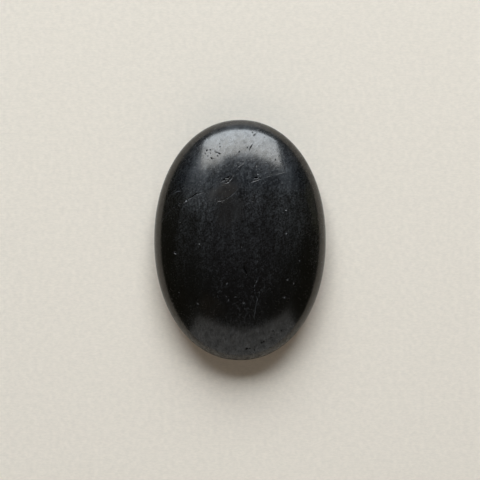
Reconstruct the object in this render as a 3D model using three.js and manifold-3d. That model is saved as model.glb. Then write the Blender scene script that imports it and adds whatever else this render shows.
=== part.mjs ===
// A polished palm stone of black shungite: one oval pebble, domed above, eased to a small flat below,
// with the pits and open fissures that the polish has not reached.
//
// Millimetres, +Z up. The origin is the middle of the flat that the stone rests on, and the stone's
// length lies along Y.
import * as THREE from "three";
import { mergeVertices } from "three/addons/utils/BufferGeometryUtils.js";
import Module from "manifold-3d";

// Driving dimensions
const LENGTH = 70;
const WIDTH = 50;
const CROWN_HEIGHT = 9.8; // from the girdle, the stone's widest line, up to its top
const GIRDLE_HEIGHT = 5; // from the resting flat up to the girdle
const FLAT_SHARE = 0.46; // the resting flat's size, as a share of the oval outline

// How full each curve is: 2 is an ellipse, and more is squarer
const OUTLINE_FULLNESS = 2.09;
const CROWN_FULLNESS = 2.35;
const BELLY_FULLNESS = 2;

// Facets
const AROUND = 72;
const CROWN_RINGS = 19;
const BELLY_RINGS = 12;
const HOLLOW_SIDES = 9;
const HOLLOW_RINGS = 6;

// Hollows in the crown, seen from above: the place of each one, its length, width and depth, and its
// heading in degrees from +X. The first list runs along the long slanting fissure, from the left flank
// to the far end, and the second holds the loose pits.
const FISSURE_SLITS = [
  { x: -19.3, y: 8.9, length: 2.4, width: 0.4, depth: 0.22, heading: 42 },
  { x: -14.8, y: 12.2, length: 4.6, width: 0.5, depth: 0.32, heading: 38 },
  { x: -9.8, y: 14.1, length: 1.6, width: 0.4, depth: 0.24, heading: 18 },
  { x: -5.6, y: 16.3, length: 1.4, width: 0.6, depth: 0.34, heading: 28 },
  { x: -4.0, y: 17.0, length: 1.5, width: 0.7, depth: 0.42, heading: 36 },
  { x: -2.7, y: 18.2, length: 1.6, width: 0.7, depth: 0.42, heading: 44 },
  { x: 0.6, y: 21.6, length: 2.2, width: 0.35, depth: 0.2, heading: 50 },
  { x: 3.6, y: 27.1, length: 1.6, width: 0.5, depth: 0.34, heading: 56 },
  { x: 4.1, y: 30.4, length: 1.3, width: 0.5, depth: 0.32, heading: 30 },
];
const LOOSE_PITS = [
  { x: 4.6, y: 17.9, length: 1.5, width: 0.8, depth: 0.45, heading: 8 },
  { x: 7.6, y: 18.2, length: 2.2, width: 0.35, depth: 0.2, heading: 10 },
  { x: -5.5, y: 11.2, length: 1.8, width: 0.4, depth: 0.22, heading: 20 },
  { x: -8.1, y: 23.5, length: 1.0, width: 0.9, depth: 0.4, heading: 0 },
  { x: -9.7, y: 25.7, length: 0.8, width: 0.7, depth: 0.34, heading: 0 },
  { x: -8.6, y: 25.9, length: 0.7, width: 0.6, depth: 0.28, heading: 0 },
  { x: -6.2, y: 25.0, length: 1.2, width: 0.7, depth: 0.36, heading: -12 },
  { x: -6.5, y: 24.0, length: 0.7, width: 0.6, depth: 0.28, heading: 0 },
  { x: 0.0, y: 25.5, length: 0.8, width: 0.6, depth: 0.3, heading: 60 },
  { x: 2.2, y: 26.7, length: 0.7, width: 0.6, depth: 0.28, heading: 0 },
  { x: -18.7, y: -3.7, length: 1.3, width: 0.7, depth: 0.36, heading: -25 },
  { x: 4.3, y: -12.4, length: 1.8, width: 0.5, depth: 0.28, heading: 66 },
  { x: 12.9, y: -16.9, length: 1.3, width: 0.6, depth: 0.3, heading: 0 },
  { x: 13.5, y: 2.1, length: 0.8, width: 0.7, depth: 0.3, heading: 0 },
  { x: 2.1, y: -31.3, length: 1.2, width: 1.0, depth: 0.42, heading: 30 },
  { x: 4.2, y: -31.8, length: 0.8, width: 0.7, depth: 0.34, heading: 0 },
  { x: 6.8, y: -29.5, length: 0.9, width: 0.7, depth: 0.34, heading: 0 },
];

// A quarter curve that falls from 1 at the middle to 0 at share 1, level at first and upright at its end.
function fall(share, fullness) {
  return Math.sqrt(Math.max(0, 1 - share ** fullness));
}

// Height of the crown, at a share of the way from the stone's axis to its girdle.
function crownHeight(share) {
  return GIRDLE_HEIGHT + CROWN_HEIGHT * fall(share, CROWN_FULLNESS);
}

// Height of the belly: zero across the flat, then up to the girdle.
function bellyHeight(share) {
  const past = Math.max(0, (share - FLAT_SHARE) / (1 - FLAT_SHARE));
  return GIRDLE_HEIGHT * (1 - fall(past, BELLY_FULLNESS));
}

// Half the stone's section, from the middle of the flat out to the girdle and back to the top.
// The sine packs the rings where the section turns the corner at the girdle.
function halfSection() {
  const points = [new THREE.Vector2(0, 0)];
  for (let ring = 0; ring <= BELLY_RINGS; ring += 1) {
    const share = FLAT_SHARE + (1 - FLAT_SHARE) * Math.sin((ring / BELLY_RINGS) * (Math.PI / 2));
    points.push(new THREE.Vector2(share, bellyHeight(share)));
  }
  for (let ring = CROWN_RINGS - 1; ring > 0; ring -= 1) {
    const share = Math.sin((ring / CROWN_RINGS) * (Math.PI / 2));
    points.push(new THREE.Vector2(share, crownHeight(share)));
  }
  points.push(new THREE.Vector2(0, crownHeight(0)));
  return points;
}

// Pushes each point of a round solid of radius 1 out to the oval outline, along its own bearing.
function stretchToOval(geometry) {
  const position = geometry.getAttribute("position");
  const round = (value) => Math.sign(value) * Math.abs(value) ** (2 / OUTLINE_FULLNESS);
  for (let i = 0; i < position.count; i += 1) {
    const share = Math.hypot(position.getX(i), position.getY(i));
    const bearing = Math.atan2(position.getY(i), position.getX(i));
    const x = (WIDTH / 2) * share * round(Math.cos(bearing));
    const y = (LENGTH / 2) * share * round(Math.sin(bearing));
    position.setXYZ(i, x, y, position.getZ(i));
  }
  return geometry;
}

// The smooth stone, before its hollows.
function polishedForm() {
  const round = new THREE.LatheGeometry(halfSection(), AROUND).rotateX(Math.PI / 2);
  return stretchToOval(round);
}

// A point on the crown above (x, y), with the way that the polish faces there.
function crownPoint(x, y) {
  const shareAt = (px, py) =>
    (Math.abs((2 * px) / WIDTH) ** OUTLINE_FULLNESS + Math.abs((2 * py) / LENGTH) ** OUTLINE_FULLNESS) **
    (1 / OUTLINE_FULLNESS);
  const heightAt = (px, py) => crownHeight(shareAt(px, py));
  const step = 0.01;
  const slopeX = (heightAt(x + step, y) - heightAt(x - step, y)) / (2 * step);
  const slopeY = (heightAt(x, y + step) - heightAt(x, y - step)) / (2 * step);
  return {
    point: new THREE.Vector3(x, y, heightAt(x, y)),
    facing: new THREE.Vector3(-slopeX, -slopeY, 1).normalize(),
  };
}

// The bowl that a hollow takes out of the crown: an ellipsoid centred on the polish and lying along it.
function hollowForm({ x, y, length, width, depth, heading }) {
  const { point, facing } = crownPoint(x, y);
  const angle = THREE.MathUtils.degToRad(heading);
  const bearing = new THREE.Vector3(Math.cos(angle), Math.sin(angle), 0);
  const across = new THREE.Vector3().crossVectors(facing, bearing).normalize();
  const along = new THREE.Vector3().crossVectors(across, facing);
  return new THREE.SphereGeometry(1, HOLLOW_SIDES, HOLLOW_RINGS)
    .rotateX(Math.PI / 2)
    .scale(length / 2, width / 2, depth)
    .applyMatrix4(new THREE.Matrix4().makeBasis(along, across, facing).setPosition(point));
}

const wasm = await Module();
wasm.setup();

// A closed geometry as a solid that can be cut: shared corners merged, and triangles with no area dropped.
function solidOf(geometry) {
  geometry.deleteAttribute("normal");
  geometry.deleteAttribute("uv");
  const merged = mergeVertices(geometry);
  const corners = merged.getIndex().array;
  const kept = [];
  for (let i = 0; i < corners.length; i += 3) {
    const [a, b, c] = corners.slice(i, i + 3);
    if (a !== b && b !== c && c !== a) kept.push(a, b, c);
  }
  const vertProperties = merged.getAttribute("position").array;
  return new wasm.Manifold(new wasm.Mesh({ numProp: 3, vertProperties, triVerts: Uint32Array.from(kept) }));
}

// A solid's surface as a geometry, with each facet flat.
function geometryOf(solid) {
  const { vertProperties, triVerts } = solid.getMesh();
  const surface = new THREE.BufferGeometry();
  surface.setAttribute("position", new THREE.BufferAttribute(vertProperties, 3));
  surface.setIndex(new THREE.BufferAttribute(triVerts, 1));
  const facets = surface.toNonIndexed();
  facets.computeVertexNormals();
  return facets;
}

let stoneSolid = solidOf(polishedForm());
for (const hollow of [...FISSURE_SLITS, ...LOOSE_PITS]) {
  stoneSolid = stoneSolid.subtract(solidOf(hollowForm(hollow)));
}

const polishedBlack = new THREE.MeshStandardMaterial({ color: 0x16171a, roughness: 0.24, metalness: 0 });
const stone = new THREE.Mesh(geometryOf(stoneSolid), polishedBlack);
stone.name = "stone";

const palmStone = new THREE.Group();
palmStone.add(stone);

export default palmStone;
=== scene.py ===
# %% [markdown]
# # A palm stone of polished shungite
# Shungite is a black rock, rich in carbon, that takes a deep polish. This one is an oval pebble made to
# lie in the palm, with a domed crown, a rounded girdle and a small flat below. The lesson builds its
# surface from a formula, opens the fissures and pits that the polish has not reached, and then gives it
# the black, slightly hazy gloss of the rock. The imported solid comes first, because it says where the
# stone lies and how large it is.

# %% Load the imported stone
import math
from types import SimpleNamespace

import bmesh
import bpy
import numpy as np
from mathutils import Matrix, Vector


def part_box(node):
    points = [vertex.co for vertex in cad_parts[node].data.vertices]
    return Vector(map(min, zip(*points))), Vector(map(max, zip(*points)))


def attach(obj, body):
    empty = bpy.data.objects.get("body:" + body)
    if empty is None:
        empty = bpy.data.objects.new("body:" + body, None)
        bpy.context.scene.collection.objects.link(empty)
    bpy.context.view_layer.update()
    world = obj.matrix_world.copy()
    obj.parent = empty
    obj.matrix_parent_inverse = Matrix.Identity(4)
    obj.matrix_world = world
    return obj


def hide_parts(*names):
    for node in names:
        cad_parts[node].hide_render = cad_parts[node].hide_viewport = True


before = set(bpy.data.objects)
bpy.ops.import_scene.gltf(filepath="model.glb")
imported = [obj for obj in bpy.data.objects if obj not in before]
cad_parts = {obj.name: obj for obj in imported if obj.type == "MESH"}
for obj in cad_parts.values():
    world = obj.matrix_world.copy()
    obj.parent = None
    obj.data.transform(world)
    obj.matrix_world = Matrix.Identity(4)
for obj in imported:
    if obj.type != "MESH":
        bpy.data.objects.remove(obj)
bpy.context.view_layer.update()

# %% [markdown]
# ## The form
# The outline is a superellipse, a little squarer than an ellipse. Across it the crown falls as
# sqrt(1 - share ** fullness), where share runs from 0 on the axis to 1 at the girdle, so that it is level
# at the top and upright at the girdle. The belly below is a quarter ellipse that runs out into the flat.
# A sculpted sphere would do, but a formula keeps the reflections clean, which is what shows on a polished
# stone.

# %% Sizes and section of the stone
MM = 0.001
low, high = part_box("stone")
HALF_WIDTH = (high.x - low.x) / 2 / MM
HALF_LENGTH = (high.y - low.y) / 2 / MM
CROWN_HEIGHT = 9.8
GIRDLE_HEIGHT = (high.z - low.z) / MM - CROWN_HEIGHT
OUTLINE_FULLNESS = 2.09
CROWN_FULLNESS = 2.35
FLAT_SHARE = 0.46


def crown_height(share):
    """Height in mm: the girdle, plus the crown times sqrt(1 - share ** fullness of the crown)."""
    return GIRDLE_HEIGHT + CROWN_HEIGHT * np.sqrt(np.clip(1 - share**CROWN_FULLNESS, 0, None))


def belly_height(share):
    """Height in mm: zero on the flat, then a quarter ellipse up to the girdle."""
    past = np.clip((share - FLAT_SHARE) / (1 - FLAT_SHARE), 0, 1)
    return GIRDLE_HEIGHT * (1 - np.sqrt(1 - past**2))


print(f"half width {HALF_WIDTH:.2f} mm, half length {HALF_LENGTH:.2f} mm, girdle at {GIRDLE_HEIGHT:.2f} mm")

# %% [markdown]
# ## Two parameters over the whole stone
# A globe's grid crowds at its poles. Two square grids bent into discs, one for the crown and one for the
# belly, have cells of nearly one size and no pole, and they share the points along the girdle, so the
# stone is closed. The discs' rings are then moved so that steps along the section are even, which keeps
# the cells from stretching where the stone turns over at the girdle.

# %% From the square to the stone
SECTION_SAMPLES = np.sin(np.linspace(0, math.pi / 2, 400))


def even_share(height_at, distance):
    """The share at which the section's length from the axis is that part of its whole length."""
    mean_half = (HALF_WIDTH + HALF_LENGTH) / 2
    steps = np.hypot(np.diff(mean_half * SECTION_SAMPLES), np.diff(height_at(SECTION_SAMPLES)))
    length = np.concatenate([[0], np.cumsum(steps)])
    return np.interp(distance, length / length[-1], SECTION_SAMPLES)


def superellipse(value):
    """A cosine or sine, made squarer: its size to the power 2 / fullness of the outline, with its sign."""
    return np.sign(value) * np.abs(value) ** (2 / OUTLINE_FULLNESS)


def smooth_stone(u, v, side):
    """Points in mm. The square becomes a disc as (u sqrt(1 - v v / 2), v sqrt(1 - u u / 2)), its rings
    are spaced evenly along the section, and each bearing is stretched to the outline. A side below 0 is
    the belly."""
    disc_x = u * np.sqrt(1 - v**2 / 2)
    disc_y = v * np.sqrt(1 - u**2 / 2)
    distance = np.clip(np.hypot(disc_x, disc_y), 0, 1)
    bearing = np.arctan2(disc_y, disc_x)
    below = side < 0
    share = np.where(below, even_share(belly_height, distance), even_share(crown_height, distance))
    x = HALF_WIDTH * share * superellipse(np.cos(bearing))
    y = HALF_LENGTH * share * superellipse(np.sin(bearing))
    z = np.where(below, belly_height(share), crown_height(share))
    return np.stack([x, y, z], axis=1)


def double_grid(cells):
    """Rows of (u, v, side) and quads for two square grids that share their edge points, whose side is 0."""
    steps = np.linspace(-1, 1, cells + 1)
    u, v = np.meshgrid(steps, steps, indexing="ij")
    upper = np.arange(u.size).reshape(u.shape)
    lower = upper.copy()
    lower[1:-1, 1:-1] = u.size + np.arange((cells - 1) ** 2).reshape(cells - 1, cells - 1)
    inside = np.zeros(u.shape)
    inside[1:-1, 1:-1] = 1
    crown_rows = np.stack([u, v, inside], axis=-1).reshape(-1, 3)
    belly_rows = np.stack([u, v, -inside], axis=-1)[1:-1, 1:-1].reshape(-1, 3)

    def quads(ids):
        return np.stack([ids[:-1, :-1], ids[1:, :-1], ids[1:, 1:], ids[:-1, 1:]], axis=-1).reshape(-1, 4)

    return np.concatenate([crown_rows, belly_rows]), np.concatenate([quads(upper), quads(lower)[:, ::-1]])


GRID_CELLS = 130
rows, faces = double_grid(GRID_CELLS)
print(f"grid of {len(rows)} points and {len(faces)} quads")

# %% [markdown]
# ## Fissures and pits
# Old cracks run through the rock. Most are closed and show as a hair line. Where one stands open it is a
# narrow, dark groove, and here and there its near lip is worn to a bevel, pale with the mineral that healed
# the crack. Pits are small bowls where grains fell out. Both could be painted, but only a real groove is
# bright and dark on the right walls from every side, so both are cut into the mesh. Each fissure is a row of
# given points, seen from above in mm, with how far it stands open there and how far its lip is worn. The
# worn lip is on the right of the way it runs.

# %% Fissure lines
FISSURES = {
    "long": {
        "side": 1, "depth": 0.20,
        "points": [(-24.2, 3.6, 0.05, 0.0), (-21.8, 6.7, 0.35, 0.15), (-19.6, 9.2, 0.55, 0.35),
                   (-18.0, 10.1, 0.4, 0.1), (-16.8, 10.75, 0.85, 0.78), (-14.4, 12.1, 0.85, 0.7),
                   (-13.4, 12.7, 0.95, 0.05), (-12.3, 13.5, 0.8, 0.0), (-11.0, 13.6, 0.3, 0.0),
                   (-8.1, 14.5, 0.15, 0.0), (-5.7, 15.9, 0.15, 0.0), (-4.4, 16.3, 0.25, 0.0),
                   (-3.8, 16.6, 0.5, 0.0), (-3.4, 16.95, 0.85, 0.75), (-3.05, 17.2, 0.6, 0.05),
                   (-2.75, 17.7, 0.95, 0.9), (-2.45, 18.0, 0.6, 0.05), (-2.05, 18.7, 0.6, 0.5),
                   (-1.7, 19.1, 0.2, 0.0), (-0.7, 20.7, 0.2, 0.0), (0.7, 22.2, 0.3, 0.0),
                   (2.1, 24.4, 0.12, 0.0), (3.1, 26.6, 0.35, 0.0), (3.7, 27.8, 0.25, 0.1),
                   (4.0, 29.4, 0.08, 0.0), (4.4, 30.9, 0.25, 0.0), (5.1, 31.9, 0.12, 0.0),
                   (5.5, 33.4, 0.05, 0.0)],
    },
    "right": {
        "side": 1, "depth": 0.12,
        "points": [(2.4, 16.5, 0.1, 0.0), (3.4, 16.9, 0.45, 0.45), (5.2, 17.4, 0.45, 0.4),
                   (6.6, 17.9, 0.2, 0.0), (8.2, 18.4, 0.35, 0.25), (9.4, 18.7, 0.15, 0.0),
                   (11.0, 19.1, 0.3, 0.2), (13.6, 19.7, 0.05, 0.0)],
    },
    "arc": {
        "side": 1, "depth": 0.10,
        "points": [(-8.2, 8.2, 0.2, 0.15), (-7.5, 9.9, 0.2, 0.12), (-6.6, 11.0, 0.55, 0.6),
                   (-5.0, 11.3, 0.55, 0.55), (-3.3, 12.3, 0.4, 0.4), (-1.6, 13.8, 0.35, 0.35),
                   (-0.1, 15.8, 0.05, 0.0)],
    },
    "flank": {
        "side": 1, "depth": 0.12,
        "points": [(-20.0, 13.2, 0.4, 0.3), (-18.2, 14.1, 0.55, 0.55), (-16.2, 15.2, 0.35, 0.3)],
    },
    "near": {
        "side": 1, "depth": 0.12,
        "points": [(3.6, -23.6, 0.2, 0.12), (4.1, -20.5, 0.3, 0.28), (4.4, -18.2, 0.3, 0.25),
                   (4.6, -17.0, 0.5, 0.6), (4.2, -15.9, 0.2, 0.1), (4.0, -14.9, 0.45, 0.5),
                   (4.1, -13.4, 0.35, 0.15), (2.8, -11.0, 0.35, 0.0), (0.8, -7.4, 0.2, 0.0)],
    },
    "near_branch": {
        "side": 1, "depth": 0.16,
        "points": [(3.7, -13.6, 0.3, 0.1), (4.2, -12.5, 0.9, 0.95), (4.6, -11.7, 0.6, 0.5),
                   (5.3, -9.8, 0.1, 0.05)],
    },
    "belly": {
        "side": -1, "depth": 0.16,
        "points": [(-24.2, 3.6, 0.1, 0.0), (-20.5, 0.8, 0.6, 0.1), (-16.0, -3.4, 0.8, 0.3),
                   (-10.5, -5.2, 0.4, 0.1), (-6.0, -9.0, 0.1, 0.0)],
    },
}
print("points by hand", {name: len(line["points"]) for name, line in FISSURES.items()})

# %% A smooth path through the points
PATH_STEP = 0.4  # in mm


def smooth_path(points, step):
    """A cubic curve through given points, each one's slope from its neighbours, in even steps."""
    points = np.array(points, float)
    at = np.concatenate([[0], np.cumsum(np.hypot(*np.diff(points[:, :2], axis=0).T))])
    slope = np.gradient(points, at, axis=0)
    along = np.linspace(0, at[-1], int(at[-1] / step) + 2)
    i = np.clip(np.searchsorted(at, along, side="right") - 1, 0, len(at) - 2)
    span = (at[i + 1] - at[i])[:, None]
    t = ((along - at[i]) / span[:, 0])[:, None]
    ends = (2 * t**3 - 3 * t**2 + 1) * points[i] + (3 * t**2 - 2 * t**3) * points[i + 1]
    turns = (t**3 - 2 * t**2 + t) * slope[i] + (t**3 - t**2) * slope[i + 1]
    return ends + span * turns


def along_path(xy, path):
    """For each point: its distance to the path, below 0 on the left, then the opening and wear there."""
    start, leg = path[:-1, :2], np.diff(path[:, :2], axis=0)
    to_point = xy[:, None, :] - start[None]
    t = np.clip((to_point * leg).sum(-1) / (leg**2).sum(-1), 0, 1)
    away = to_point - t[..., None] * leg
    distance = np.hypot(away[..., 0], away[..., 1])
    nearest = distance.argmin(1)
    pick = np.arange(len(xy)), nearest
    opening, worn = (path[nearest, 2:] + t[pick][:, None] * np.diff(path[:, 2:], axis=0)[nearest]).T
    turn = leg[nearest, 0] * to_point[pick][:, 1] - leg[nearest, 1] * to_point[pick][:, 0]
    return np.where(turn > 0, -1, 1) * distance[pick], np.clip(opening, 0, 1), np.clip(worn, 0, 1)


steps = {name: len(smooth_path(line["points"], PATH_STEP)) for name, line in FISSURES.items()}
print("points of each path", steps)

# %% [markdown]
# ## Where the pits lie
# The larger pits are listed where the stone has them: a cluster near the far end, a few beside the long
# fissure, and a few at the near end. Pinholes all over, and chips along the edges of the fissures, come from
# a seeded draw, so that every run gives the same stone.

# %% Pits listed one by one
# Place (x, y), length, width and depth in mm, heading in degrees from +X, and how pale the grain in it is.
PITS = np.array([
    # beside the ragged stretch of the long fissure
    (-5.1, 16.9, 0.55, 0.36, 0.16, 20, 0), (-4.5, 17.4, 0.95, 0.50, 0.28, 30, 0),
    (-3.3, 18.2, 1.15, 0.55, 0.30, 48, 0), (-3.9, 17.9, 0.40, 0.30, 0.14, 0, 0),
    # further along it, and on the right fissure
    (3.3, 27.0, 1.25, 0.30, 0.15, 60, 0), (4.1, 30.5, 0.95, 0.34, 0.08, 30, 0),
    (3.6, 31.2, 0.45, 0.26, 0.09, 10, 0), (4.7, 18.0, 1.30, 0.62, 0.36, 8, 0),
    (5.1, 19.1, 0.70, 0.26, 0.09, -14, 0),
    # the cluster near the far end
    (-8.1, 23.4, 0.56, 0.46, 0.17, 0, 0), (-9.2, 24.0, 0.42, 0.34, 0.10, 0, 0),
    (-9.7, 25.7, 0.66, 0.40, 0.14, 20, 0), (-8.7, 25.9, 0.52, 0.38, 0.11, 0, 0),
    (-6.7, 25.1, 1.25, 0.26, 0.14, -10, 0), (-6.0, 24.9, 0.56, 0.44, 0.18, 0, 0),
    (-6.6, 24.1, 0.42, 0.34, 0.10, 0, 0), (-5.7, 26.8, 0.46, 0.40, 0.14, 0, 0),
    (-8.5, 24.9, 0.38, 0.34, 0.09, 0, 0), (-5.8, 27.8, 0.36, 0.32, 0.10, 0, 0),
    (-10.1, 24.9, 0.36, 0.30, 0.09, 30, 0),
    # loose ones in the far half
    (-0.1, 25.3, 0.75, 0.34, 0.14, 70, 0), (2.2, 26.6, 0.42, 0.32, 0.10, 0, 0),
    (10.2, 23.1, 0.48, 0.36, 0.12, 30, 0), (11.5, 24.1, 0.42, 0.34, 0.11, 0, 0),
    # the short crack, and the near end
    (1.6, -8.7, 3.20, 0.42, 0.26, 114, 0), (2.1, -31.3, 0.95, 0.60, 0.24, 30, 0),
    (2.9, -31.2, 0.50, 0.36, 0.14, 0, 0), (4.2, -31.8, 0.55, 0.46, 0.16, 0, 0),
    (6.8, -29.5, 0.65, 0.48, 0.17, 0, 0), (-1.4, -31.6, 0.45, 0.40, 0.12, 0, 0),
    # pale grains
    (-18.7, -3.8, 1.00, 0.50, 0.20, -25, 0.5), (-12.1, -18.5, 0.55, 0.42, 0.08, 0, 0.6),
    (-17.5, -15.1, 0.50, 0.38, 0.08, 0, 0.4), (-11.8, -1.2, 0.42, 0.38, 0.08, 0, 0.3),
    (-17.0, 2.9, 0.40, 0.36, 0.08, 0, 0.3), (13.5, 2.1, 0.55, 0.46, 0.10, 0, 0.5),
    (13.3, 8.5, 0.42, 0.38, 0.08, 0, 0.4), (17.2, -6.1, 0.42, 0.38, 0.08, 0, 0.4),
    (12.7, -16.6, 0.90, 0.42, 0.12, 0, 0.6), (13.8, -11.4, 0.55, 0.38, 0.08, 20, 0.4),
    (15.4, -12.4, 0.45, 0.36, 0.08, 0, 0.4), (1.0, -17.9, 0.60, 0.42, 0.11, 0, 0.4),
    (-3.7, -12.4, 0.65, 0.45, 0.05, 60, 0.4), (-3.9, -16.2, 0.75, 0.40, 0.05, 100, 0.35),
    (-1.5, -16.4, 0.85, 0.40, 0.05, 20, 0.35), (-3.4, -17.5, 0.70, 0.45, 0.05, 60, 0.35),
    # the near end again, with faint scuffs
    (-3.5, -32.7, 0.50, 0.40, 0.14, 0, 0), (6.1, -29.8, 0.55, 0.36, 0.13, 20, 0),
    (9.5, -26.3, 0.60, 0.40, 0.14, 0, 0), (12.0, -26.1, 0.50, 0.40, 0.13, 0, 0),
    (4.1, -30.8, 1.00, 0.30, 0.05, 22, 0.12), (7.7, -28.9, 1.00, 0.30, 0.05, 26, 0.12),
    (9.2, -28.2, 0.80, 0.30, 0.05, 26, 0.10), (1.2, -30.6, 0.70, 0.30, 0.05, 60, 0.10),
])
print(f"{len(PITS)} pits placed by hand")

# %% Pinholes and chips
PINHOLES = 110
PINHOLE_LONGEST = 0.45
PINHOLE_REACH = 0.9  # of the way from the axis to the girdle
CROWN_ODDS = 0.7  # share of the pinholes that lie on the crown
CHIPS = 40
CHIP_LONGEST = 0.6
CHIP_SPREAD = 0.3
LENGTH_DRAW = (0.5, 1.0)  # of the longest
WIDTH_DRAW = (0.6, 1.0)  # of the length
DEPTH_DRAW = (0.06, 0.18)  # of the width
PIT_SEED = 7
draw = np.random.default_rng(PIT_SEED)


def small_pits(x, y, side, longest):
    """Rows as above for places (x, y), with drawn sizes, no pale grain, and a last column for the side."""
    length = draw.uniform(*LENGTH_DRAW, len(x)) * longest
    width = length * draw.uniform(*WIDTH_DRAW, len(x))
    depth = width * draw.uniform(*DEPTH_DRAW, len(x))
    heading = draw.uniform(0, 180, len(x))
    return np.stack([x, y, length, width, depth, heading, np.zeros(len(x)), side], axis=1)


def pinholes(count):
    """Small pits spread evenly over the oval, seven in ten of them on the crown."""
    reach = PINHOLE_REACH * np.sqrt(draw.uniform(0, 1, count))
    bearing = draw.uniform(0, 2 * math.pi, count)
    side = np.where(draw.uniform(0, 1, count) < CROWN_ODDS, 1, -1)
    x = HALF_WIDTH * reach * np.cos(bearing)
    y = HALF_LENGTH * reach * np.sin(bearing)
    return small_pits(x, y, side, PINHOLE_LONGEST)


def chips(count):
    """Small pits beside the fissures, more of them the further a fissure stands open."""
    lines = [(smooth_path(line["points"], PATH_STEP), line["side"]) for line in FISSURES.values()]
    path = np.concatenate([points for points, _ in lines])
    side = np.concatenate([np.full(len(points), value) for points, value in lines])
    odds = np.clip(path[:, 2], 0, 1) ** 2
    at = draw.choice(len(path), count, p=odds / odds.sum())
    x, y = (path[at, :2] + draw.normal(0, CHIP_SPREAD, (count, 2))).T
    return small_pits(x, y, side[at], CHIP_LONGEST)


pits = np.concatenate([np.column_stack([PITS, np.ones(len(PITS))]), pinholes(PINHOLES), chips(CHIPS)])
print(f"{PINHOLES} pinholes and {CHIPS} chips drawn, {len(pits)} pits in all")

# %% [markdown]
# ## One field for all the hollows
# Broken rock is never smooth, so the lines and rims are pushed about by a little noise before anything is
# measured from them. The field then says, for any points, how deep the stone is cut there, how broken and
# how pale the rock is, and how near a cut they are, which the next step uses to make the grid finer just
# where that is needed.

# %% Ragged lines
LATTICE_CELLS = 97
WOBBLE_CELLS = ((0.5, 0.10), (1.7, 0.22))  # cell and reach in mm
WOBBLE_SEEDS = (11, 23)


def value_noise(x, y, cell, seed):
    """Random numbers from -1 to 1 on a lattice of that cell, eased between the corners round each point."""
    lattice = np.random.default_rng(seed).uniform(-1, 1, (LATTICE_CELLS, LATTICE_CELLS))
    column, row = np.floor(x / cell).astype(int), np.floor(y / cell).astype(int)
    ease_x, ease_y = (t * t * (3 - 2 * t) for t in (x / cell - column, y / cell - row))

    def corner(i, j):
        return lattice[(column + i) % LATTICE_CELLS, (row + j) % LATTICE_CELLS]

    left = corner(0, 0) * (1 - ease_y) + corner(0, 1) * ease_y
    right = corner(1, 0) * (1 - ease_y) + corner(1, 1) * ease_y
    return left * (1 - ease_x) + right * ease_x


def wobbled(xy):
    """Points moved by noise of two sizes, so that straight lines and round rims become ragged."""
    x, y = xy.T
    shift_x, shift_y = (
        sum(reach * value_noise(x, y, cell, seed) for cell, reach in WOBBLE_CELLS) for seed in WOBBLE_SEEDS
    )
    return np.stack([x + shift_x, y + shift_y], axis=1)


straight = np.stack([np.linspace(-HALF_WIDTH, HALF_WIDTH, 500), np.zeros(500)], axis=1)
print(f"a straight line strays by up to {np.abs(wobbled(straight)[:, 1]).max():.2f} mm")

# %% Depth of the fissures
NEAR_MARGIN = 2.0  # distance in mm past which no cut is looked for
WALL_REACH = 0.18  # from a fissure's line out to the top of its wall, in mm
BEVEL_REACH = 0.36  # the same on the side where the lip is worn right down
HAIR_SPREAD = 0.45  # width of a closed fissure, as a share of a wide open one's
GROOVE_POWER = 1.5
STANDS_OPEN = (0.08, 0.4)  # openings between which the rock in a fissure turns matt
WALL_SHARE = 0.6  # of the way in from a rim that its wall takes up
LIP_SHARE = 0.8  # of the way out to the top of the bevel, where the pale mineral lies
LIP_WIDTH = 0.13
PALE_CELL = 0.6  # of the noise that breaks the mineral up, in mm
PALE_GROUND = 0.6
PALE_SEED = 31


def eased(value, start, end):
    """0 up to start, 1 from end on, and 3 t^2 - 2 t^3 in between."""
    t = np.clip((value - start) / (end - start), 0, 1)
    return t * t * (3 - 2 * t)


def on_side(side, wanted):
    """Which points lie on the crown, for 1, or on the belly, for -1. The girdle counts as crown."""
    return np.where(side < 0, -1, 1) == wanted


def fissure_fields(xy, side):
    """Depth of the fissure grooves, which is depth opening^1.5 (1 - across^2)^1.5 with across from 0 on
    the line to 1 at the top of the wall or bevel, then how broken the rock is in them, how much pale
    mineral lies along the worn lip, which is a bell curve across it broken up by noise, and the distance
    in mm to the nearest line."""
    depth, broken, pale = np.zeros((3, len(xy)))
    distance = np.full(len(xy), NEAR_MARGIN)
    for fissure in FISSURES.values():
        path = smooth_path(fissure["points"], PATH_STEP)
        low_corner, high_corner = path[:, :2].min(0) - NEAR_MARGIN, path[:, :2].max(0) + NEAR_MARGIN
        boxed = ((xy > low_corner) & (xy < high_corner)).all(1)
        near = np.flatnonzero(boxed & on_side(side, fissure["side"]))
        away, opening, worn = along_path(xy[near], path)
        spread = HAIR_SPREAD + (1 - HAIR_SPREAD) * opening
        bevel = WALL_REACH + worn * (BEVEL_REACH - WALL_REACH)
        across = away / (np.where(away > 0, bevel, WALL_REACH) * spread)
        inside = np.clip(1 - across**2, 0, None)
        patchy = np.clip(PALE_GROUND + value_noise(*xy[near].T, PALE_CELL, PALE_SEED), 0, 1)
        mineral = worn * patchy * np.exp(-(((away - LIP_SHARE * bevel * spread) / LIP_WIDTH) ** 2))
        groove = fissure["depth"] * opening**GROOVE_POWER * inside**GROOVE_POWER
        matt = eased(opening, *STANDS_OPEN) * (1 - worn) * eased(inside, 0, WALL_SHARE)
        depth[near] = np.maximum(depth[near], groove)
        broken[near] = np.maximum(broken[near], matt)
        pale[near] = np.maximum(pale[near], mineral)
        distance[near] = np.minimum(distance[near], np.abs(away))
    return depth, broken, pale, distance


# On the long fissure, in a pit and on the polish.
sample = np.array([[-14.4, 12.1], [-8.1, 23.4], [0.0, 0.0]])
on_crown = np.ones(len(sample))
print("depths of fissures in mm at three places:", fissure_fields(sample, on_crown)[0].round(3))

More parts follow.
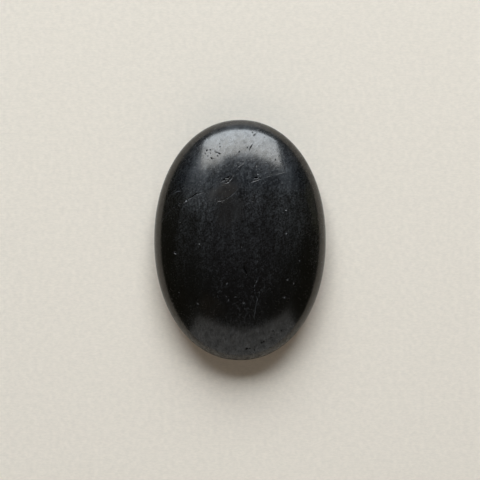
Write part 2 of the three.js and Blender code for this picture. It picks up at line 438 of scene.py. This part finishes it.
# %% Depth of the pits
GRAIN_REACH = 0.8  # of a pit's own reach


def pit_fields(xy, side):
    """Depth of the pits, as steep walls round a dished floor, how pale the grains in them are, which is a
    bell curve across each, and the distance in mm to the nearest pit."""
    depth, pale = np.zeros((2, len(xy)))
    distance = np.full(len(xy), NEAR_MARGIN)
    for x, y, length, width, deep, heading, grain, pit_side in pits:
        to_point = xy - (x, y)
        near = np.flatnonzero((np.abs(to_point) < NEAR_MARGIN).all(1) & on_side(side, pit_side))
        turn = math.radians(heading)
        along = to_point[near] @ (math.cos(turn), math.sin(turn))
        across = to_point[near] @ (-math.sin(turn), math.cos(turn))
        reach = np.hypot(along / (length / 2), across / (width / 2))
        depth[near] = np.maximum(depth[near], deep * eased(1 - reach, 0, WALL_SHARE))
        pale[near] = np.maximum(pale[near], grain * np.exp(-((reach / GRAIN_REACH) ** 2)))
        distance[near] = np.minimum(distance[near], np.clip(reach - 1, 0, None) * width / 2)
    return depth, pale, distance


print("depths of pits in mm at the same places:", pit_fields(sample, on_crown)[0].round(3))

# %% [markdown]
# ## A finer grid along the cuts
# A cell of the grid is near half a millimetre, wider than a fissure. Making every cell small enough would
# take millions of faces, so only the cells beside a cut are halved, three times over. The grid is still
# flat here: its points hold (u, v, side) and not places, so the new points in between land on the stone
# exactly.

# %% Halve the cells beside the cuts
REFINE_REACH = (0.9, 0.6, 0.38)  # distance in mm to a cut, for each halving
PIT_MARGIN = 0.2
mesh = bpy.data.meshes.new("palm_stone")
mesh.from_pydata(rows, [], faces)
sheet = bmesh.new()
sheet.from_mesh(mesh)
for reach in REFINE_REACH:
    sheet.verts.index_update()
    flat = np.array([vertex.co for vertex in sheet.verts])
    spots = wobbled(smooth_stone(*flat.T)[:, :2])
    to_pit = pit_fields(spots, flat[:, 2])[-1] + PIT_MARGIN
    close = np.minimum(fissure_fields(spots, flat[:, 2])[-1], to_pit) < reach
    split = [edge for edge in sheet.edges if close[edge.verts[0].index] and close[edge.verts[1].index]]
    bmesh.ops.subdivide_edges(sheet, edges=split, cuts=1, use_grid_fill=True)
sheet.to_mesh(mesh)
sheet.free()
print(f"refined to {len(mesh.vertices)} points and {len(mesh.polygons)} faces")

# %% [markdown]
# ## Put the stone together
# The flat grid becomes the smooth stone, and then each point is moved inwards along the surface's own
# direction by the depth of the cut there and by the slow swells that hand polishing leaves. Nothing moves
# outwards, so the stone stays inside the imported one's box. The swells are only hundredths of a millimetre
# high, yet they bend the edges of every reflection, and without them the stone would look machined.

# %% Bend the grid into the stone
# Wavelength in mm, heading in degrees from +X, phase, and height in mm.
SWELLS = (
    (19.0, 35.0, 0.6, 0.020), (13.0, 118.0, 2.1, 0.012),
    (27.0, 80.0, 4.0, 0.030), (8.5, 62.0, 1.3, 0.005),
)
MATT_PITS = (0.07, 0.13)  # depths in mm between which the rock in a pit turns matt


def polish_swells(x, y):
    """A sum of sine waves of the lengths, headings and heights above, lowered so that none stands proud."""
    total = np.zeros(len(x))
    for wavelength, heading, phase, height in SWELLS:
        turn = math.radians(heading)
        along = x * math.cos(turn) + y * math.sin(turn)
        total += height * (np.sin(2 * math.pi * along / wavelength + phase) - 1)
    return total


count = len(mesh.vertices)
flat = np.empty(count * 3)
mesh.vertices.foreach_get("co", flat)
u, v, side = flat.reshape(-1, 3).T
place = smooth_stone(u, v, side)
mesh.vertices.foreach_set("co", place.ravel())
mesh.update()
facing = np.empty(count * 3)
mesh.vertices.foreach_get("normal", facing)
facing = facing.reshape(-1, 3)

spots = wobbled(place[:, :2])
groove_depth, groove_broken, lip_pale, _ = fissure_fields(spots, side)
pit_depth, grain_pale, _ = pit_fields(spots, side)
cut_depth = np.maximum(groove_depth, pit_depth)
broken_rock = np.maximum(groove_broken, eased(pit_depth, *MATT_PITS))
pale_mineral = np.maximum(lip_pale, grain_pale)
above_girdle = np.clip((place[:, 2] - GIRDLE_HEIGHT) / CROWN_HEIGHT, 0, 1)
inwards = polish_swells(place[:, 0], place[:, 1]) * np.sqrt(above_girdle) - cut_depth
place = place + facing * inwards[:, None]
mesh.vertices.foreach_set("co", (place * MM).ravel())
mesh.shade_smooth()
mesh.update()
triangles = sum(len(polygon.vertices) - 2 for polygon in mesh.polygons)
print(f"deepest cut {cut_depth.max():.2f} mm, faces as triangles {triangles}")

# %% [markdown]
# ## What the finish needs to know
# The cuts were worked out point by point, so the finish needn't find them again. Their depth, how broken the
# rock is and how pale are kept on the mesh as attributes. The stone is then hung from the root body, and the
# imported one that it stands for is hidden.

# %% Keep the fields on the mesh
fields = {"cut_depth": cut_depth, "broken_rock": broken_rock, "pale_mineral": pale_mineral}
for name, values in fields.items():
    mesh.attributes.new(name, "FLOAT", "POINT").data.foreach_set("value", values.astype(np.float32))
stone = bpy.data.objects.new("palm_stone", mesh)
bpy.context.scene.collection.objects.link(stone)
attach(stone, "root")
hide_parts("stone")
print("attributes", [attribute.name for attribute in mesh.attributes])

# %% [markdown]
# ## Writing shaders as sums
# A finish is a handful of patterns added and multiplied together. Node by node that is long to read, so a
# small class stands for one socket: Python's own + - and * on it add the Math nodes, and one method makes
# any other node.

# %% A socket that can be reckoned with
class Socket:
    """An output socket in a node tree. Arithmetic on it adds Math nodes; node() adds any other kind."""

    def __init__(self, tree, output=None):
        self.tree = tree
        self.output = output

    def node(self, kind, settings=None, inputs=None, output=0):
        """A node of that kind: its settings are set first, then each input gets a value or a link."""
        made = self.tree.nodes.new(kind)
        for name, value in (settings or {}).items():
            setattr(made, name, value)
        for name, value in (inputs or {}).items():
            if isinstance(value, Socket):
                self.tree.links.new(value.output, made.inputs[name])
            else:
                made.inputs[name].default_value = value
        return Socket(self.tree, made.outputs[output] if made.outputs else None)

    def also(self, output):
        """Another output of the same node."""
        return Socket(self.tree, self.output.node.outputs[output])

    def reckon(self, operation, first, second):
        """A Math node on two values, either of which may be a socket."""
        return self.node("ShaderNodeMath", {"operation": operation}, {0: first, 1: second})

    def __add__(self, other):
        return self.reckon("ADD", self, other)

    def __radd__(self, other):
        return self.reckon("ADD", other, self)

    def __sub__(self, other):
        return self.reckon("SUBTRACT", self, other)

    def __rsub__(self, other):
        return self.reckon("SUBTRACT", other, self)

    def __mul__(self, other):
        return self.reckon("MULTIPLY", self, other)

    def __rmul__(self, other):
        return self.reckon("MULTIPLY", other, self)

    def at_most(self, limit):
        """This value, or the limit where it is above that."""
        return self.reckon("MINIMUM", self, limit)

    def between(self, start, end):
        """0 up to start, 1 from end on, and an eased step in between."""
        settings = {"interpolation_type": "SMOOTHSTEP"}
        return self.node("ShaderNodeMapRange", settings, {"Value": self, "From Min": start, "From Max": end})

    def towards(self, first, second):
        """A colour that goes from the first to the second as this value goes from 0 to 1."""
        factor, colour_a, colour_b, result = 0, 6, 7, 2  # the Mix node's sockets for colours
        inputs = {factor: self, colour_a: first, colour_b: second}
        return self.node("ShaderNodeMix", {"data_type": "RGBA"}, inputs, output=result)


def empty_material(name):
    """A material with no nodes, and a socket to start its nodes from."""
    material = bpy.data.materials.new(name)
    material.use_nodes = True
    material.node_tree.nodes.clear()
    return material, Socket(material.node_tree)


print("shader helper ready")

# %% [markdown]
# ## Patterns in the rock
# Polished rock is never even. It has clouds of harder and softer mineral, fine specks, bedding that runs
# across it at a slant, and marks along it from the polishing. Each of these is noise, plain or drawn out
# along a heading, and a stain is noise inside an oval. All of them are measured in millimetres on the
# stone itself.

# %% Noise, streaks and spots
SPOT_TOP = 15  # height in mm at which a spot is widest
SPOT_FALL = 9  # mm below it at which it ends
SPOT_EDGE = (0.55, 1.2)  # of the way out from its middle


def per_mm(size):
    """A texture's scale for features of that size in mm, on coordinates in metres."""
    return 1 / (size * MM)


def noise(place, size, detail=2.0):
    """Cloudy values round 0.5, with features of that size in mm."""
    return place.node("ShaderNodeTexNoise", None, {"Vector": place, "Scale": per_mm(size), "Detail": detail})


def streaks(place, size, heading, stretch):
    """The same noise, drawn out so many times along a heading in degrees from +X."""
    turned = place.node("ShaderNodeMapping", {"vector_type": "TEXTURE"}, {
        "Vector": place, "Rotation": (0, 0, math.radians(heading)), "Scale": (stretch, 1, 1),
    })
    return noise(turned, size)


def ragged(place, size, reach):
    """The same places, each moved by noise of that size in mm, by up to about that reach in mm."""
    push = place.node("ShaderNodeVectorMath", {"operation": "SUBTRACT"}, {
        0: noise(place, size).also("Color"), 1: (0.5, 0.5, 0.5),
    })
    stretch = (4 * reach * MM,) * 3  # because noise strays by about a quarter
    return place.node("ShaderNodeVectorMath", {"operation": "MULTIPLY_ADD"}, {0: push, 1: stretch, 2: place})


def spot(place, x, y, length, width, heading):
    """1 inside an oval of that place and size in mm on the crown, easing to 0 round its edge."""
    turned = place.node("ShaderNodeMapping", {"vector_type": "TEXTURE"}, {
        "Vector": place, "Location": (x * MM, y * MM, SPOT_TOP * MM),
        "Rotation": (0, 0, math.radians(heading)),
        "Scale": (length / 2 * MM, width / 2 * MM, SPOT_FALL * MM),
    })
    reach = turned.node("ShaderNodeVectorMath", {"operation": "LENGTH"}, {0: turned}, output="Value")
    return 1 - reach.between(*SPOT_EDGE)


def zone(distance, start, end):
    """0 before the start, 1 past the end and eased in between, both in mm along that distance."""
    return distance.between(start * MM, end * MM)


print("patterns ready")

# %% [markdown]
# ## Grain, marks and zones
# What the rock shows under its gloss is a few patterns laid over each other: clouds, patches and specks of
# other mineral, bedding at a slant, polishing marks along the stone, small pores, and single bright grains.
# They are stronger in some places than in others. A tongue of brown black rock lies down the middle, and the
# flanks beside it get a painted olive reflection of the room. A leaf of denser rock lies beside the long
# fissure, and the far and near ends were polished less than the rest. The far end of the crown also gets a
# painted bluish sheen, and the right flank a painted brown reflection of the room. All of them are gathered
# in one bundle, so that the colour and the haze after it read as short sums.

# %% Ovals and zones of this stone
# Ovals on the crown: place (x, y), length and width in mm, heading in degrees from +X.
TONGUE = (0.6, -2.0, 52.0, 24.0, 90)
LEAF = (-4.5, 13.9, 11.0, 5.4, 30)
VEIL = (-3.2, 8.2, 11.0, 8.0, 60)
STAIN = (-8.0, -20.0, 10.0, 7.0, 120)
# Painted reflection: a brown band on the right flank where the dim room shows in the polish.
RIGHT_FLANK_REFLECTION_OVAL = (21.2, 8.4, 21.0, 3.0, 102)
# Ovals where the haze is stronger, and ovals polished clear of it, each with a strength at its end.
SMUDGES = (
    (-12.6, 16.5, 19.0, 8.0, 78, 0.13), (-8.6, 10.0, 14.0, 4.5, 68, 0.09), (15.2, 8.0, 28.0, 9.0, 92, 0.05),
    (14.2, 17.5, 10.0, 7.0, 100, 0.08), (2.0, 25.2, 9.0, 3.0, 37, 0.09),
)
CLEARINGS = (
    (-20.8, 0.5, 22.0, 6.0, 90, 0.6), (18.6, -4.5, 15.0, 7.0, 95, 0.5), (-10.4, 27.2, 9.0, 3.6, 65, 0.7),
    (9.2, 28.2, 9.0, 3.0, -42, 0.6),
)
# Where a zone starts and where it is full, in mm: along the stone, and for the crown up it.
FAR_HALF = (-18, 6)
FAR_END = (11, 19)
FAR_RIM = (31, 34)
PAST_NEAR_END = (-28, -20)
CROWN = (7.5, 11.5)
print(f"{len(SMUDGES)} smudges and {len(CLEARINGS)} clearings in the haze")

# %% The patterns in one bundle
CUT_FULL = 0.07  # depth in mm at which the polish is gone


def rock_patterns(start):
    """Noise and streaks over the whole stone, from 0 to 1 or round 0.5. The grain is a square, so that
    most of it is faint and a little of it strong."""
    place = start.node("ShaderNodeTexCoord", output="Object")
    rock = SimpleNamespace(place=place)
    rock.clouds = noise(place, 6.0, 3.0).between(0.35, 0.68)
    rock.patches = noise(place, 0.85, 3.0).between(0.49, 0.70)
    rock.specks = noise(place, 0.50, 3.0).between(0.52, 0.71)
    rock.pores = noise(place, 1.5, 4.0).between(0.46, 0.72)
    rock.marks = streaks(place, 0.45, 98, 6.0)
    rock.columns = streaks(place, 1.1, 80, 9.0).between(0.36, 0.64)
    rock.bands = streaks(place, 2.6, 82, 6.0).between(0.36, 0.66)
    rock.bedding = streaks(place, 0.6, 42, 4.0)
    rock.brushed = streaks(place, 1.3, 62, 3.0).between(0.38, 0.62)
    mixed = 0.5 * noise(place, 0.45, 3.0) + 0.25 * rock.marks + 0.25 * rock.bedding
    contrast = 5.4 * mixed - 1.7
    rock.grain = (contrast * contrast).at_most(2.8)
    cells = start.node("ShaderNodeTexVoronoi", None, {"Vector": place, "Scale": per_mm(1.7)})
    cell_draw = start.node("ShaderNodeSeparateColor", None, {0: cells.also("Color")})
    rock.glint = (1 - cells.between(0.03, 0.09)) * cell_draw.between(0.86, 1.0)
    return rock


def add_zones(rock):
    """Adds the ovals, with ragged edges, and the zones along the stone, each 1 inside and 0 outside."""
    about = ragged(rock.place, 3.0, 1.0)
    rock.tongue = spot(about, *TONGUE)
    rock.leaf = spot(about, *LEAF) * noise(rock.place, 1.8).between(0.1, 0.7)
    rock.veil = spot(about, *VEIL)
    rock.stain = spot(about, *STAIN) * noise(rock.place, 3.0).between(0.25, 0.60)
    # The right flank's oval carries a painted reflection of the room.
    rock.flank_cast = spot(about, *RIGHT_FLANK_REFLECTION_OVAL)
    rock.smudge = sum(strength * spot(about, *oval) for *oval, strength in SMUDGES)
    rock.clearing = sum(strength * spot(about, *oval) for *oval, strength in CLEARINGS)
    along = rock.place.node("ShaderNodeSeparateXYZ", None, {0: rock.place}, output="Y")
    rock.far_half = zone(along, *FAR_HALF)
    rock.far_end = zone(along, *FAR_END)
    rock.far_rim = zone(along, *FAR_RIM)
    rock.near_end = 1 - zone(along, *PAST_NEAR_END)
    rock.crown = zone(along.also("Z"), *CROWN)


def add_cuts(rock):
    """Adds what the mesh knows: where it is cut, where the rock is broken, and where pale mineral lies."""
    cut_depth, rock.broken, rock.pale_mineral = (
        rock.place.node("ShaderNodeAttribute", {"attribute_name": name}, output="Fac") for name in fields
    )
    rock.cut = cut_depth.between(0.0, CUT_FULL)


print("the finish reads", list(fields), "from the mesh")

# %% [markdown]
# ## The finish of the rock
# Shungite is nearly black, so what shows is its gloss: a clear reflection with a haze round it, because
# the soft carbon never polishes quite as flat as the harder grains in it. One glossy shader could be made
# rougher, but then the clear reflection would go. So the rock itself gives the clear reflection, and a
# rough coat on it gives the haze. Grain, bedding and polishing marks change how strong the haze is, which
# is what gives the black its life. Where the rock is broken open, in the pits, fissures and pores, it is
# matt and blacker than the polish, so a second shader is mixed in there.

# %% Colour and haze
BLACK = (0.0024, 0.0019, 0.0016, 1)
# Painted reflection: the olive tint on the flanks outside the tongue stands in for the warm room seen in the
# polish there.
PAINTED_ROOM_OLIVE = (0.0021, 0.0018, 0.0012, 1)
# Painted bluish sheen, laid on the far end of the crown where the haze round the soft box shows.
PAINTED_BLUE_SHEEN = (0.0010, 0.0018, 0.0029, 1)
GREY_SPECK = (0.0200, 0.0196, 0.0192, 1)
DENSE = (0.0165, 0.0128, 0.0098, 1)
RUST = (0.0075, 0.0052, 0.0032, 1)
# Painted reflection of the dim room on the right flank.
PAINTED_FLANK_REFLECTION = (0.0085, 0.0077, 0.0046, 1)
BRIGHT_GRAIN = (0.070, 0.070, 0.068, 1)
PALE_MINERAL = (0.120, 0.120, 0.122, 1)


def rock_colour(rock):
    """A painted olive reflection of the room on the flanks, brown black down the middle and a painted bluish
    sheen at the far end of the crown. The specks, the dense leaf, the stain, a painted brown reflection of
    the room on the right flank, the bright grains and the pale mineral are then laid over it in turn."""
    # Painted reflection and sheen: olive on the flanks for the warm room seen in the polish, and slate at
    # the far end of the crown for the bluish haze round the soft box.
    colour = (rock.far_end * rock.crown).towards(rock.tongue.towards(PAINTED_ROOM_OLIVE, BLACK), PAINTED_BLUE_SHEEN)
    specked = rock.patches * (0.3 + 0.7 * rock.clouds) * rock.tongue * (1 - 0.8 * rock.far_half)
    colour = specked.towards(colour, GREY_SPECK)
    colour = (0.7 * rock.leaf + 0.2 * rock.veil).towards(colour, DENSE)
    colour = (0.5 * rock.stain).towards(colour, RUST)
    # Painted reflection of the room on the right flank, as a brown band.
    colour = rock.flank_cast.towards(colour, PAINTED_FLANK_REFLECTION)
    colour = (rock.glint * rock.crown).towards(colour, BRIGHT_GRAIN)
    return rock.pale_mineral.towards(colour, PALE_MINERAL)


def rock_haze(rock):
    """Bands, bedding and smudges, weaker in the near half and in the clearings, plus streaks at the near
    end and a line at the far rim. It is multiplied by the grain on the crown, and the cuts have none."""
    far_bedding = rock.bedding.between(0.35, 0.65) * rock.far_end
    haze = 0.070 + 0.064 * rock.bands + 0.048 * far_bedding + rock.smudge * (0.6 + 0.8 * rock.columns)
    haze = haze * (0.26 + 0.94 * rock.far_half - 0.35 * rock.far_end) * (1 - rock.clearing)
    haze = haze + (0.03 + 0.16 * rock.marks.between(0.30, 0.70)) * rock.near_end + 0.14 * rock.far_rim
    rough_grain = rock.crown * (1 - 0.8 * rock.leaf) * (1 - 0.5 * rock.veil) * (1 - 3 * rock.smudge)
    rough_grain = rough_grain * (1 - 0.4 * rock.far_end) * (1 - 0.7 * rock.near_end)
    return haze * (1 + (rock.grain - 1) * rough_grain) * (1 - 0.25 * rock.leaf) * (1 - rock.cut)


print("rock colours from", BLACK[:3], "to", PALE_MINERAL[:3])

# %% Shungite
BROKEN = (0.0020, 0.0019, 0.0018, 1)
WARM_GLOSS = (1.0, 0.91, 0.80, 1)


def shungite_finish():
    """The polish, mixed with matt rock where it is broken, in pores and in brushed marks near one end."""
    material, start = empty_material("shungite_polish")
    rock = rock_patterns(start)
    add_zones(rock)
    add_cuts(rock)
    relief = 0.4 * noise(rock.place, 0.35, 1.0) + 0.3 * rock.specks + 0.3 * rock.marks
    bump = start.node("ShaderNodeBump", None, {"Strength": 0.22, "Distance": 0.02 * MM, "Height": relief})
    polish = start.node("ShaderNodeBsdfPrincipled", None, {
        "Base Color": rock_colour(rock), "Specular Tint": WARM_GLOSS, "IOR": 1.53, "Normal": bump,
        "Roughness": 0.145 + 0.03 * rock.clouds + 0.14 * rock.specks + 0.10 * rock.cut,
        "Coat Weight": rock_haze(rock), "Coat Roughness": 0.45, "Coat IOR": 2.1,
    })
    matt = start.node("ShaderNodeBsdfPrincipled", None, {
        "Base Color": BROKEN, "Roughness": 0.7, "Specular IOR Level": 0.02,
    })
    unpolished = rock.broken + (0.16 + 0.11 * rock.far_end + 0.16 * rock.near_end) * rock.pores
    unpolished = unpolished + 0.22 * rock.brushed * rock.near_end
    surface = start.node("ShaderNodeMixShader", None, {0: unpolished, 1: polish, 2: matt})
    start.node("ShaderNodeOutputMaterial", None, {"Surface": surface})
    return material


mesh.materials.append(shungite_finish())
print("finish", mesh.materials[0].name, "with", len(mesh.materials[0].node_tree.nodes), "nodes")

# %% [markdown]
# ## The floor
# The stone lies on pale, uncoated paper board. A picture of paper would show its repeats, so the board is
# one large sheet with a faint mottle and drawn-out fibres, which colour it and give it a little relief.

# %% Paper board
FLOOR_HALF = 3.0  # in metres
PAPER = (0.724, 0.625, 0.509, 1)
PAPER_SHADE = (0.654, 0.565, 0.459, 1)


def paper_finish():
    """Paper that goes from its shade to its full colour with half mottle and half fibres."""
    material, start = empty_material("paper_board")
    place = start.node("ShaderNodeTexCoord", output="Object")
    mottle = noise(place, 1.6, 4.0).between(0.3, 0.7)
    fibres = streaks(place, 0.45, 0, 2.5)
    bump = start.node("ShaderNodeBump", None, {"Strength": 0.3, "Distance": 0.05 * MM, "Height": fibres})
    fleck = 0.5 * mottle + 0.5 * fibres.between(0.35, 0.65)
    shader = start.node("ShaderNodeBsdfPrincipled", None, {
        "Base Color": fleck.towards(PAPER_SHADE, PAPER), "Roughness": 0.85, "Specular IOR Level": 0.2,
        "Normal": bump,
    })
    start.node("ShaderNodeOutputMaterial", None, {"Surface": shader})
    return material


corners = np.array([(-1, -1, 0), (1, -1, 0), (1, 1, 0), (-1, 1, 0)]) * FLOOR_HALF
board = bpy.data.meshes.new("paper_board")
board.from_pydata(corners, [], [(0, 1, 2, 3)])
board.materials.append(paper_finish())
floor = bpy.data.objects.new("paper_board", board)
bpy.context.scene.collection.objects.link(floor)
print("floor", 2 * FLOOR_HALF, "m square")

# %% [markdown]
# ## The light in the polish
# A polished black stone shows little but its lights. One large soft box stands beyond the far end, low
# enough to lie as a bright cap on the crown there. It is brightest at its foot and widens towards its
# head, with one corner that stands higher. One light can't be uneven like that, so it is made of strips.
# They show only in the polish, because the light on the paper is the next step's.

# %% The box in the polish
def soft_box(name, middle, aim, size, radiance, tint):
    """A rectangular area light with its middle there, facing along aim, of that size and brightness."""
    light = bpy.data.lights.new(name, "AREA")
    light.shape = "RECTANGLE"
    light.size, light.size_y = size
    light.energy = radiance * math.pi * size[0] * size[1]
    light.color = tint
    lamp = bpy.data.objects.new(name, light)
    lamp.location = middle
    lamp.rotation_euler = Vector(aim).to_track_quat("-Z", "Y").to_euler()
    lamp.visible_camera = False
    bpy.context.scene.collection.objects.link(lamp)
    return lamp


AWAY = 1.6  # metres from the stone to the lights, which are laid out in units of this
BOX_FOOT = np.array([0.02, 1.015, 0.37])
BOX_HEAD = np.array([0.02, 0.75, 1.13])
# Width and radiance of each strip, from the foot up.
BOX_STRIPS = ((1.28, 9.8), (1.31, 9.2), (1.36, 8.25), (1.40, 7.25))
CORNER_WIDTH = 0.44
CORNER_RISE = 0.13
CORNER_RADIANCE = 6.5
FOOT_TINT = np.array([0.85, 0.99, 1.16])
HEAD_TINT = np.array([0.91, 1.0, 1.09])
ACROSS = np.array([1, 0, 0])

up_strip = (BOX_HEAD - BOX_FOOT) / len(BOX_STRIPS)
into_room = np.cross(ACROSS, up_strip)
strip_height = AWAY * np.linalg.norm(up_strip)
for level, (width, radiance) in enumerate(BOX_STRIPS):
    middle = AWAY * (BOX_FOOT + (level + 0.5) * up_strip)
    tint = FOOT_TINT + (HEAD_TINT - FOOT_TINT) * level / (len(BOX_STRIPS) - 1)
    size = (AWAY * width, strip_height)
    strip = soft_box(f"far_soft_box_{level}", middle, into_room, size, radiance, tint)
    strip.visible_diffuse = False

head_width = BOX_STRIPS[-1][0]
over_head = CORNER_RISE / 2 * up_strip / np.linalg.norm(up_strip)
corner_middle = AWAY * (BOX_HEAD + over_head + (CORNER_WIDTH / 2 - head_width / 2) * ACROSS)
corner_size = (AWAY * CORNER_WIDTH, AWAY * CORNER_RISE)
raised_corner = soft_box("far_corner", corner_middle, into_room, corner_size, CORNER_RADIANCE, HEAD_TINT)
raised_corner.visible_diffuse = False
print(f"soft box of {len(BOX_STRIPS)} strips, {strip_height:.2f} m high each, and a corner")

# %% [markdown]
# ## The light on the paper
# The box could light the paper too, but then every change for a better reflection would be a worse shadow.
# So a key, narrower than the box and a little lower, lights the paper and casts the shadow, and the polish
# doesn't show it. Across from it a dim card gives the faint patch in the polish at the near end, and a warm
# fill behind the card lights the shadow.

# %% Key, card and fill
KEY_FOOT = np.array([-0.03, 1.132, 0.350])
KEY_HEAD = np.array([-0.03, 0.715, 0.940])
KEY_WIDTH = 1.17
KEY_RADIANCE = 10.1
KEY_TINT = (0.88, 0.995, 1.125)
CARD_MIDDLE = np.array([0.10, -1.0, 0.70])
CARD_SIZE = np.array([2.2, 1.40])
CARD_RADIANCE = 0.645
CARD_TINT = (0.93, 1.0, 1.09)
FILL_MIDDLE = np.array([0, -1.1, 0.70])
FILL_RADIANCE = 0.92
FILL_TINT = (1.06, 0.98, 0.91)
FROM_NEAR = (0, 1, 0)

up_key = KEY_HEAD - KEY_FOOT
key_middle = AWAY * (KEY_FOOT + KEY_HEAD) / 2
key_size = (AWAY * KEY_WIDTH, AWAY * np.linalg.norm(up_key))
key = soft_box("far_key", key_middle, np.cross(ACROSS, up_key), key_size, KEY_RADIANCE, KEY_TINT)
key.visible_glossy = False
card = soft_box("near_card", AWAY * CARD_MIDDLE, FROM_NEAR, AWAY * CARD_SIZE, CARD_RADIANCE, CARD_TINT)
card.visible_diffuse = False
fill = soft_box("warm_fill", AWAY * FILL_MIDDLE, FROM_NEAR, AWAY * CARD_SIZE, FILL_RADIANCE, FILL_TINT)
fill.visible_glossy = False

# %% [markdown]
# ## The room
# What isn't lit still shows in the polish, so the room round the stone is a dim colour and not black: a
# warm grey at the sides, and a little lighter and cooler overhead. The camera, where it sees past the
# board, gets the board's own tone instead, so that the edge of the board doesn't show in a low view.

# %% Dim room
ROOM_SIDES = (0.030, 0.029, 0.018, 1)
ROOM_OVERHEAD = (0.035, 0.036, 0.038, 1)
BACKDROP = (0.70, 0.675, 0.62, 1)
OVERHEAD_FROM = 0.55  # sine of the height at which the overhead colour starts

room = bpy.data.worlds.new("room")
bpy.context.scene.world = room
room.use_nodes = True
room.node_tree.nodes.clear()
start = Socket(room.node_tree)
heading = start.node("ShaderNodeTexCoord", output="Generated")
height = start.node("ShaderNodeSeparateXYZ", None, {0: heading}, output="Z")
camera_ray = start.node("ShaderNodeLightPath", output="Is Camera Ray")
dim = height.between(OVERHEAD_FROM, 1.0).towards(ROOM_SIDES, ROOM_OVERHEAD)
background = start.node("ShaderNodeBackground", None, {"Color": camera_ray.towards(dim, BACKDROP)})
start.node("ShaderNodeOutputWorld", None, {"Surface": background})
print("room", room.name)

# %% [markdown]
# ## Camera
# The view is from straight above, with the stone's length up the picture. The lens is long, and its view
# is set so that the girdle fills as much of the picture as it should.

# %% View from above
CAMERA_HEIGHT = 0.60
PICTURE_WIDTH = 139.8 * MM  # at the height of the girdle
SENSOR_WIDTH = 36.0
lens = bpy.data.cameras.new("overhead")
lens.sensor_width = SENSOR_WIDTH
lens.lens = SENSOR_WIDTH * (CAMERA_HEIGHT - GIRDLE_HEIGHT * MM) / PICTURE_WIDTH
camera = bpy.data.objects.new("overhead", lens)
camera.location = (0, 0, CAMERA_HEIGHT)
bpy.context.scene.collection.objects.link(camera)
bpy.context.scene.camera = camera
bpy.context.scene.view_settings.view_transform = "Standard"
print(f"lens {lens.lens:.1f} mm")

# %% [markdown]
# ## Bring the scene up to date
# The last call brings the scene up to date.

# %% Bring the scene up to date
bpy.context.view_layer.update()
